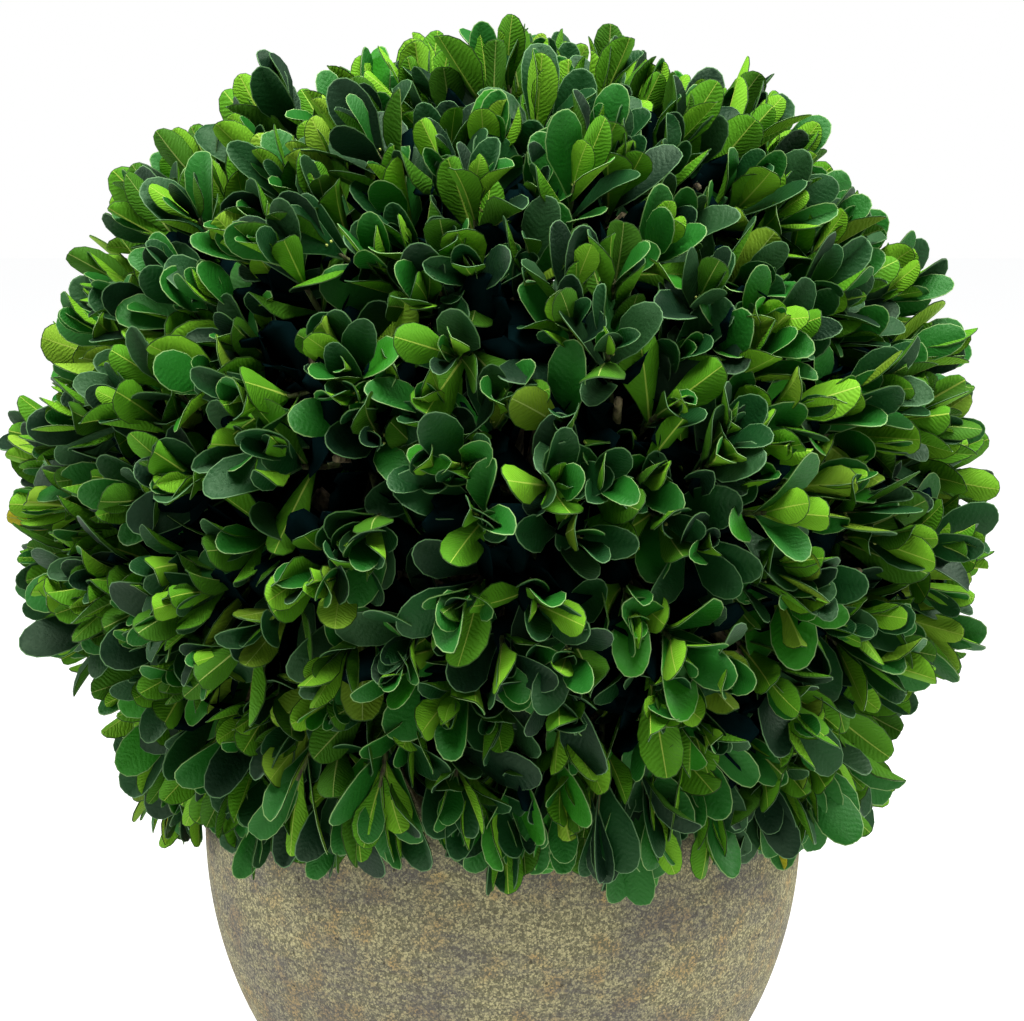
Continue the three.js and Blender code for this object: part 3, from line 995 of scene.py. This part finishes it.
def leaf_palette(leaf):
    """The leaf materials and each one's place in the list, by its kind and shade."""
    faces = [f"face_{name}" for name in FACES]
    backs = [f"back_{name}" for name in BACKS]
    materials = [face_material(f"leaf_{name}", getattr(leaf, name), leaf.vein_depth) for name in faces]
    materials += [back_material(f"leaf_{name}", getattr(leaf, name), leaf.vein_depth) for name in backs]
    for name, roughness in LINES.items():
        materials.append(plain_leaf_material(f"leaf_{name}", getattr(leaf, name), roughness))
    return materials, {name: i for i, name in enumerate((*faces, *backs, *LINES))}


def deal_slots(bed, index):
    """The material of each kind of a leaf's faces, dealt out by spray, with younger shades at its tip."""
    slots = np.zeros((len(bed.rows), KINDS), int)
    for i, row in enumerate(bed.rows):
        left = row["tone"]
        for portion, faces, backs in MOODS:
            if left < portion:
                break
            left -= portion
        pick = int(row["hue"] * len(faces))
        face, back = faces[pick], backs[pick]
        if row["level"] < YOUNG_PAIRS and row["hue"] > YOUNG_FROM:
            face, back = "green", "bright"
        fresh = face in ("fresh", "green") or back == "lime"
        slots[i, FACE] = index[f"face_{face}"]
        slots[i, BACK] = index[f"back_{back}"]
        # The rim's pale colour is a painted highlight on the leaf's edge.
        slots[i, RIM] = index["rim_pale" if fresh else "rim_sage"]
        slots[i, RIB] = index["rib_pale" if back in ("bright", "lime", "leaf") else "rib_dull"]
        slots[i, EDGE] = index["edge"]
    return slots


# Operators

HIGHEST_BOUGH = 0.24  # height of an end whose bough leaves the stem near its top

# Soft lights: name, place from where the camera looks, side and the setting of its power.
SOFTBOXES = (
    ("light_above", (0, -0.5, 1.2), 0.9, "top_power"),
    ("light_left", (-1.3, 0, 0.6), 0.7, "left_power"),
    ("light_right", (1.2, 0.1, 0.8), 0.7, "right_power"),
)
CAMERA_CLIP = (0.05, 50)


class TOPIARY_OT_stage(bpy.types.Operator):
    """Set up the white studio floor, the light all round and the camera"""

    bl_idname = "topiary.stage"
    bl_label = "Stage"

    def execute(self, context):
        stage = context.scene.topiary_stage
        bm = bmesh.new()
        bmesh.ops.create_grid(bm, x_segments=1, y_segments=1, size=stage.floor_size / 2)
        floor = bpy.data.objects.new("floor", mesh_of("floor", bm))
        floor.data.materials.append(floor_material(stage))
        context.scene.collection.objects.link(floor)
        self.add_surround(context, stage)
        aim = Vector((stage.aim_right, 0, stage.aim_height))
        for name, offset, side, power in SOFTBOXES:
            self.add_softbox(name, aim, Vector(offset), side, getattr(stage, power))
        self.add_camera(context, stage, aim)
        context.scene.view_settings.view_transform = "Standard"
        return {"FINISHED"}

    @staticmethod
    def add_surround(context, stage):
        """A white surround that shows as pure white and gives off less light than that."""
        world = bpy.data.worlds.new("studio_surround")
        world.use_nodes = True
        tree = world.node_tree
        seen = tree.nodes.new("ShaderNodeLightPath").outputs["Is Camera Ray"]
        strength = tree.nodes.new("ShaderNodeMapRange")
        strength.inputs["To Min"].default_value = stage.surround
        strength.inputs["To Max"].default_value = 1.0
        tree.links.new(seen, strength.inputs["Value"])
        tree.links.new(strength.outputs["Result"], tree.nodes["Background"].inputs["Strength"])
        tint = tree.nodes.new("ShaderNodeMix")
        tint.data_type = "RGBA"
        tint.inputs[6].default_value = (*stage.surround_tint, 1)
        tint.inputs[7].default_value = (1, 1, 1, 1)
        tree.links.new(seen, tint.inputs[0])
        tree.links.new(tint.outputs[2], tree.nodes["Background"].inputs["Color"])
        context.scene.world = world

    @staticmethod
    def add_softbox(name, aim, offset, side, power):
        """A square soft light that points at the aim."""
        light = bpy.data.lights.new(name, "AREA")
        light.size = side
        light.energy = power
        softbox = bpy.data.objects.new(name, light)
        softbox.location = aim + offset
        softbox.rotation_euler = (-offset).to_track_quat("-Z", "Y").to_euler()
        bpy.context.scene.collection.objects.link(softbox)

    @staticmethod
    def add_camera(context, stage, aim):
        """A camera in front of the pot, whose view is as wide as the settings say at the aim."""
        lens = bpy.data.cameras.new("camera")
        lens.lens = lens.sensor_width * stage.distance / stage.view_width
        lens.clip_start, lens.clip_end = CAMERA_CLIP
        camera = bpy.data.objects.new("camera", lens)
        back = Vector((0, -math.cos(stage.elevation), math.sin(stage.elevation)))
        camera.location = aim + back * stage.distance
        camera.rotation_euler = (-back).to_track_quat("-Z", "Y").to_euler()
        context.scene.collection.objects.link(camera)
        context.scene.camera = camera


class TOPIARY_OT_pot(bpy.types.Operator):
    """Turn the thick-walled pot on its ellipse, with a round lip and a round-edged foot"""

    bl_idname = "topiary.pot"
    bl_label = "Pot"
    side_steps = 30
    lip_steps = 10
    turn_steps = 120

    def execute(self, context):
        pot = context.scene.topiary_pot
        growth = grown()
        lip = pot.wall / 2
        lip_centre = pot.height - lip
        lip_middle = growth.pot_radius(lip_centre) - lip
        outside = [(growth.pot_radius(z), z) for z in np.linspace(0, lip_centre, self.side_steps)]
        rim = [
            (lip_middle + lip * math.cos(turn), lip_centre + lip * math.sin(turn))
            for turn in np.linspace(0, math.pi, self.lip_steps)[1:-1]
        ]
        inside = [
            (growth.pot_radius(z) - pot.wall, z) for z in np.linspace(lip_centre, pot.floor, self.side_steps)
        ]
        bm = turned([(0, 0), *outside, *rim, *inside, (0, pot.floor)], self.turn_steps)
        foot = [
            edge
            for edge in bm.edges
            if all(abs(v.co.z) < TOUCHING and v.co.xy.length > pot.wall for v in edge.verts)
            and abs(edge.verts[0].co.xy.length - edge.verts[1].co.xy.length) < TOUCHING
        ]
        bmesh.ops.bevel(
            bm, geom=foot, offset=pot.foot_bevel, affect="EDGES", segments=4, profile=0.5, material=-1
        )
        add_piece("pot_shell", mesh_of("pot_shell", bm), [pot_material(pot)], "pot")
        return {"FINISHED"}


class TOPIARY_OT_soil(bpy.types.Operator):
    """Fill the pot with potting mix that has a lumpy top with loose crumbs"""

    bl_idname = "topiary.soil"
    bl_label = "Soil"
    turn_steps = 72
    side_steps = 12
    top_steps = 22
    lump_scale = 160
    crumb_flatness = 0.7
    crumb_roughness = 0.3
    crumb_sinking = 0.6

    def execute(self, context):
        soil, pot = context.scene.topiary_soil, context.scene.topiary_pot
        growth = grown()
        gap = pot.wall + soil.clearance
        heights = np.linspace(SOIL_LOW.z, SOIL_HIGH.z - soil.lumps, self.side_steps)
        side = [(growth.pot_radius(z) - gap, z) for z in heights]
        edge = side[-1][0]
        steps = range(1, self.top_steps + 1)
        top = [(edge * (1 - i / self.top_steps), SOIL_HIGH.z) for i in steps]
        bm = turned([(0, SOIL_LOW.z), *side, *top], self.turn_steps)
        for point in bm.verts:
            if point.co.z > SOIL_HIGH.z - soil.lumps / 2:
                rough = noise.fractal(point.co * self.lump_scale, 1.0, 2.0, 4) * 0.5 + 0.5
                point.co.z -= soil.lumps * min(1, max(0, rough))
        material = soil_material(soil)
        add_piece("soil_body", mesh_of("soil_body", bm), [material], "soil")
        self.add_crumbs(soil, growth.draw, edge, material)
        return {"FINISHED"}

    def add_crumbs(self, soil, draw, edge, material):
        """Uneven, flattened crumbs that are half sunk into the top of the soil."""
        bm = bmesh.new()
        bmesh.ops.create_icosphere(bm, subdivisions=1, radius=1)
        blank = Blank(bm)
        places = []
        for _ in range(soil.crumbs):
            radius = soil.crumb_radius * (0.5 + draw())
            reach, turn = (edge - radius) * math.sqrt(draw()), draw() * math.tau
            height = SOIL_HIGH.z - soil.lumps * self.crumb_sinking
            middle = (reach * math.cos(turn), reach * math.sin(turn), height)
            rough = 1 + self.crumb_roughness * np.array([draw() - 0.5 for _ in blank.points])[:, None]
            places.append(blank.points * rough * radius * (1, 1, self.crumb_flatness) + middle)
        mesh = joined_mesh("soil_crumbs", blank, np.array(places))
        add_piece("soil_crumbs", mesh, [material], "soil")


class TOPIARY_OT_wood(bpy.types.Operator):
    """Raise the stem with its root flare and its boughs, with ridged bark"""

    bl_idname = "topiary.wood"
    bl_label = "Stem and boughs"
    sides = 18
    rings = 26
    ridge_scale = Vector((420, 420, 90))

    def execute(self, context):
        wood = context.scene.topiary_wood
        growth = grown()
        bark = bark_material("old_bark", wood.bark, wood.furrow)
        blank = tube_blank(self.rings, self.sides)
        foot = SOIL_HIGH.z + wood.clearance
        heights = np.linspace(foot, wood.stem_top, self.rings)
        up = np.clip((heights - foot) / (wood.stem_flare_top - foot), 0, 1)
        taper = np.clip((heights - wood.stem_flare_top) / (wood.stem_top - wood.stem_flare_top), 0, 1)
        radii = wood.stem_radius + (wood.stem_foot_radius - wood.stem_radius) * (1 - up) ** 4
        radii -= (wood.stem_radius - wood.bough_radius) * taper
        line = np.stack([0 * heights, 0 * heights, heights], axis=1)[None]
        stem = self.barked(tube_places(blank, line, radii[None] / (1 + wood.relief)), wood.relief)
        stem[..., 2] = np.maximum(stem[..., 2], foot)
        add_piece("stem_bark", joined_mesh("stem_bark", blank, stem), [bark], "stem")
        curves = [self.bough_curve(end, wood) for end in growth.bough_ends]
        paths = curved_paths(curves, self.rings)
        radii = tapers(len(curves), self.rings, wood.bough_radius, wood.bough_end_radius)
        boughs = self.barked(tube_places(blank, paths, radii), wood.relief)
        add_piece("boughs", joined_mesh("boughs", blank, boughs), [bark], "foliage")
        return {"FINISHED"}

    @staticmethod
    def bough_curve(end, wood):
        """From the stem, lower for the lower boughs, outwards and then up to the bough's end."""
        low, high = wood.stem_flare_top, wood.stem_top
        rise = (end.z - low) / (HIGHEST_BOUGH - low)
        root = Vector((0, 0, low + (high - low) * (0.2 + 0.75 * rise)))
        bend = Vector((end.x * 0.55, end.y * 0.55, root.z + (end.z - root.z) * 0.35))
        return root, bend, end

    def barked(self, places, relief):
        """Tubes with ridges along them: each ring's points are pushed out from the ring's middle."""
        copies = places.shape[0]
        rings = places.reshape(copies, self.rings, self.sides, 3)
        middles = rings.mean(axis=2, keepdims=True)
        out = rings - middles
        points = places.reshape(-1, 3)
        ridge = np.array([noise.noise(Vector(point) * self.ridge_scale) for point in points])
        pushed = middles + out * (1 + relief * ridge.reshape(copies, self.rings, self.sides, 1))
        return pushed.reshape(places.shape)


class TOPIARY_OT_twigs(bpy.types.Operator):
    """Grow the shoots from the boughs, the twigs from the shoots, and the buds"""

    bl_idname = "topiary.twigs"
    bl_label = "Shoots, twigs and buds"
    shoot_grid = (6, 7)
    twig_grid = (7, 5)
    bud_shape = (0.55, 0.55, 1.1)
    side_bud_shape = (0.4, 0.4, 0.55)
    side_buds = 3
    side_bud_stray = 1.6 * MM
    side_bud_depth = 1.5

    def execute(self, context):
        wood, twig = context.scene.topiary_wood, context.scene.topiary_twig
        growth = grown()
        green = bark_material("young_bark", wood.green_bark, wood.furrow)
        bark = bark_material("shoot_bark", wood.bark, wood.furrow)
        shoots = [(s.root, (s.root + s.end) / 2, s.end) for s in growth.shoots]
        twigs = [(t.root, t.bend, t.end) for t in growth.twigs]
        shoot_radii = (twig.shoot_radius, twig.shoot_end_radius)
        twig_radii = (twig.twig_radius, twig.twig_end_radius)
        self.add_tubes("shoots", shoots, growth, self.shoot_grid, shoot_radii, bark)
        self.add_tubes("twigs", twigs, growth, self.twig_grid, twig_radii, green)
        self.add_buds(context, growth)
        return {"FINISHED"}

    @staticmethod
    def add_tubes(name, curves, growth, grid, radii, material):
        """A tube along each curve that has room, with a grid of rings by sides."""
        rings, sides = grid
        blank = tube_blank(rings, sides)
        places = tube_places(blank, curved_paths(curves, rings), tapers(len(curves), rings, *radii))
        places = places[growth.has_room(places)]
        add_piece(name, joined_mesh(name, blank, places), [material], "foliage")

    def add_buds(self, context, growth):
        """Small pointed buds, one at the end of some twigs with a cluster of smaller ones behind it."""
        twig, leaf = context.scene.topiary_twig, context.scene.topiary_leaf
        bm = bmesh.new()
        bmesh.ops.create_icosphere(bm, subdivisions=1, radius=MM)
        blank = Blank(bm)
        places = []
        for spray in growth.twigs:
            if growth.draw() > twig.bud_share:
                continue
            axis = (spray.end - spray.bend).normalized()
            tip = np.array(axis.to_track_quat("Z", "Y").to_matrix()).T
            places.append(blank.points * self.bud_shape @ tip + np.array(spray.end + axis * 0.6 * MM))
            for _ in range(self.side_buds):
                stray = Vector([growth.unevenly(0, self.side_bud_stray) for _ in range(3)])
                aside = stray - axis * self.side_bud_depth * MM
                places.append(blank.points * self.side_bud_shape @ tip + np.array(spray.end + aside))
        places = np.array(places)
        places = places[growth.has_room(places)]
        bud = plain_leaf_material("bud_scales", leaf.bud, 0.5)
        add_piece("buds", joined_mesh("buds", blank, places), [bud], "foliage")


class TOPIARY_OT_leaves(bpy.types.Operator):
    """Set the leaves in pairs on every twig, in sprays of one mood, and old leaves in the shade"""

    bl_idname = "topiary.leaves"
    bl_label = "Leaves"
    leaf_rows = 6
    old_leaf_rows = 3

    def execute(self, context):
        leaf = context.scene.topiary_leaf
        growth = grown()
        fresh_bed, old_bed = leaf_beds(growth, leaf)
        blank = leaf_blank(leaf, self.leaf_rows, detailed=True)
        flat = blank.points[:, :2] / leaf.length + (0, 0.5)
        outline = np.abs(blank.points[:, 2]) < 0.001 * MM
        places = fresh_bed.places(blank, leaf)
        roots = fresh_bed.column("root")
        sector = np.arctan2(roots[:, 1], roots[:, 0]) / math.tau % 1 * leaf.sectors
        kept = growth.has_room(places)
        materials, index = leaf_palette(leaf)
        slots = deal_slots(fresh_bed, index)
        for i in range(leaf.sectors):
            mine = kept & (sector.astype(int) == i)
            name = f"leaves_{i + 1}"
            mesh = joined_mesh(name, blank, places[mine], slots[mine], flat, outline)
            add_piece(name, mesh, materials, "foliage")
        self.add_old_leaves(leaf, growth, old_bed)
        return {"FINISHED"}

    def add_old_leaves(self, leaf, growth, bed):
        """Plain leaves in the shade, of one near-black colour that is painted shade in the gaps of the ball.
        """
        blank = leaf_blank(leaf, self.old_leaf_rows, detailed=False)
        places = bed.places(blank, leaf)
        places = places[growth.has_room(places)]
        # The old leaves get one near-black colour that paints the shade inside the ball.
        shade = plain_leaf_material("leaf_old", leaf.old, 0.75, gloss=0.0)
        add_piece("old_leaves", joined_mesh("old_leaves", blank, places), [shade], "foliage")


OPERATORS = (
    TOPIARY_OT_stage,
    TOPIARY_OT_pot,
    TOPIARY_OT_soil,
    TOPIARY_OT_wood,
    TOPIARY_OT_twigs,
    TOPIARY_OT_leaves,
)


class TOPIARY_PT_parts(bpy.types.Panel):
    """Lists the pieces of the topiary in the sidebar"""

    bl_idname = "TOPIARY_PT_parts"
    bl_label = "Topiary"
    bl_space_type = "VIEW_3D"
    bl_region_type = "UI"
    bl_category = "Topiary"

    def draw(self, context):
        for operator in OPERATORS:
            self.layout.operator(operator.bl_idname)


def register():
    for cls in (*SETTINGS.values(), *OPERATORS, TOPIARY_PT_parts):
        bpy.utils.register_class(cls)
    for name, settings in SETTINGS.items():
        setattr(bpy.types.Scene, name, bpy.props.PointerProperty(type=settings))


def unregister():
    for name in SETTINGS:
        delattr(bpy.types.Scene, name)
    for cls in reversed((*SETTINGS.values(), *OPERATORS, TOPIARY_PT_parts)):
        bpy.utils.unregister_class(cls)


def main():
    """Makes the whole scene."""
    register()
    bpy.ops.topiary.stage()
    bpy.ops.topiary.pot()
    bpy.ops.topiary.soil()
    bpy.ops.topiary.wood()
    bpy.ops.topiary.twigs()
    bpy.ops.topiary.leaves()


if __name__ == "__main__":
    main()
